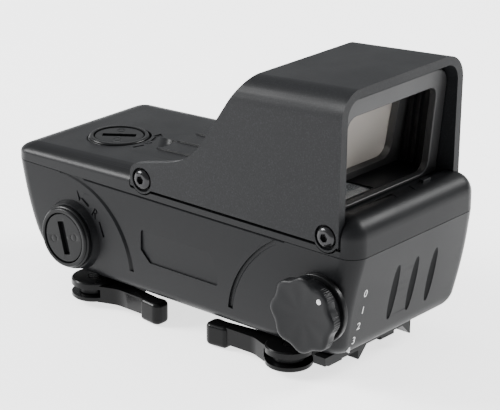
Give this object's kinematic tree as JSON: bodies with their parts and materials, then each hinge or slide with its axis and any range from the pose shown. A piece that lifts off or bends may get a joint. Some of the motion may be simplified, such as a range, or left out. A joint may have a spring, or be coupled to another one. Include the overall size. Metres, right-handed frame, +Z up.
{
  "type": "closed reflex sight",
  "caption": "Boxy electronic reflex sight with a protective hood over its lens, coin-slot adjusters, a rotary brightness knob and a lever-locked accessory rail mount.",
  "frame": {"origin": "centre of the seat that rests on top of the rail, halfway along the mount", "axes": "+Y is the direction of aim, +X the user's right, +Z up"},
  "size_m": [0.0631, 0.1212, 0.0789],
  "materials": {
    "adjuster_steel": "satin black coating",
    "stage_plastic": "black acetal",
    "polymer": "fine matte moulded black",
    "anodised": "hard anodised satin black",
    "matte_black": "dead matte black",
    "coated_glass": "warm reflective coating",
    "clear_glass": "clear polished",
    "black_steel": "black oxide",
    "plated_metal": "nickel plated",
    "led_metal": "plain metal can",
    "rubber": "black rubber",
    "white_paint": "white paint fill",
    "board": "green solder mask",
    "cell_wrap": "printed film wrap"
  },
  "bodies": {
    "sight": {"lower_housing": "polymer", "top_cover": "polymer", "knob_collar": "polymer", "hood": "anodised", "elevation_ring": "anodised", "windage_ring": "anodised", "mount_base": "anodised", "rear_bezel": "matte_black", "tunnel_liner": "matte_black", "lens_frame": "matte_black", "rotary_switch": "matte_black", "front_lens": "coated_glass", "emitter_window": "clear_glass", "hood_screw_front_left": "black_steel", "hood_screw_front_right": "black_steel", "hood_screw_rear_left": "black_steel", "hood_screw_rear_right": "black_steel", "mount_screw_front_left": "black_steel", "mount_screw_front_right": "black_steel", "mount_screw_rear_left": "black_steel", "mount_screw_rear_right": "black_steel", "battery_sleeve": "plated_metal", "contact_plate": "plated_metal", "contact_spring": "plated_metal", "cover_gasket": "rubber", "elevation_o_ring": "rubber", "windage_o_ring": "rubber", "knob_o_ring": "rubber", "circuit_board": "board"},
    "power_switch": {"power_knob": "polymer", "index_dot": "white_paint", "knob_shaft": "black_steel"},
    "elevation_screw": {"elevation_adjuster": "adjuster_steel"},
    "elevation_carriage": {"elevation_stage": "stage_plastic"},
    "windage_screw": {"windage_adjuster": "adjuster_steel"},
    "windage_carriage": {"windage_stage": "stage_plastic", "led_emitter": "led_metal"},
    "cell": {"battery": "cell_wrap"},
    "cell_cap": {"battery_cap": "anodised", "battery_cap_o_ring": "rubber"},
    "front_clamp": {"front_clamp_bar": "anodised", "front_lever_pin": "black_steel"},
    "front_lever": {"front_lever": "anodised"},
    "rear_clamp": {"rear_clamp_bar": "anodised", "rear_lever_pin": "black_steel"},
    "rear_lever": {"rear_lever": "anodised"}
  },
  "joints": [
    {"name": "power_knob_turn", "type": "hinge", "parent": "sight", "child": "power_switch", "pos_m": [-0.034, -0.0483, 0.0164], "axis": [1, 0, 0], "range_deg": [0, 120]},
    {"name": "elevation_screw_turn", "type": "hinge", "parent": "sight", "child": "elevation_screw", "pos_m": [-0.0044, 0.0415, 0.0344], "axis": [0, 0, 1], "range_deg": [-540, 540]},
    {"name": "elevation_slide", "type": "slide", "parent": "sight", "child": "elevation_carriage", "axis": [0, 0, 1], "range_m": [-0.00075, 0.00075]},
    {"name": "windage_screw_turn", "type": "hinge", "parent": "sight", "child": "windage_screw", "pos_m": [-0.0279, 0.0387, 0.0136], "axis": [1, 0, 0], "range_deg": [-540, 540]},
    {"name": "windage_slide", "type": "slide", "parent": "elevation_carriage", "child": "windage_carriage", "axis": [1, 0, 0], "range_m": [-0.00075, 0.00075]},
    {"name": "battery_slide", "type": "slide", "parent": "sight", "child": "cell", "axis": [0, 1, 0], "range_m": [0, 0.06]},
    {"name": "battery_cap_turn", "type": "hinge", "parent": "cell", "child": "cell_cap", "pos_m": [0.0125, 0.0508, 0.0142], "axis": [0, 1, 0], "range_deg": [0, 540]},
    {"name": "front_clamp_slide", "type": "slide", "parent": "sight", "child": "front_clamp", "axis": [1, 0, 0], "range_m": [0, 0.00125]},
    {"name": "front_lever_turn", "type": "hinge", "parent": "front_clamp", "child": "front_lever", "pos_m": [-0.022, 0.03503, 0], "axis": [0, 0, 1], "range_deg": [-115, 0]},
    {"name": "rear_clamp_slide", "type": "slide", "parent": "sight", "child": "rear_clamp", "axis": [1, 0, 0], "range_m": [0, 0.00125]},
    {"name": "rear_lever_turn", "type": "hinge", "parent": "rear_clamp", "child": "rear_lever", "pos_m": [-0.022, -0.03503, 0], "axis": [0, 0, 1], "range_deg": [0, 115]}
  ],
  "couplings": [
    {"joint": "elevation_screw_turn", "follows": "elevation_slide", "rad_per_m": 12566},
    {"joint": "windage_screw_turn", "follows": "windage_slide", "rad_per_m": 12566},
    {"joint": "front_clamp_slide", "follows": "front_lever_turn", "m_per_rad": -0.0006},
    {"joint": "rear_clamp_slide", "follows": "rear_lever_turn", "m_per_rad": 0.0006}
  ]
}
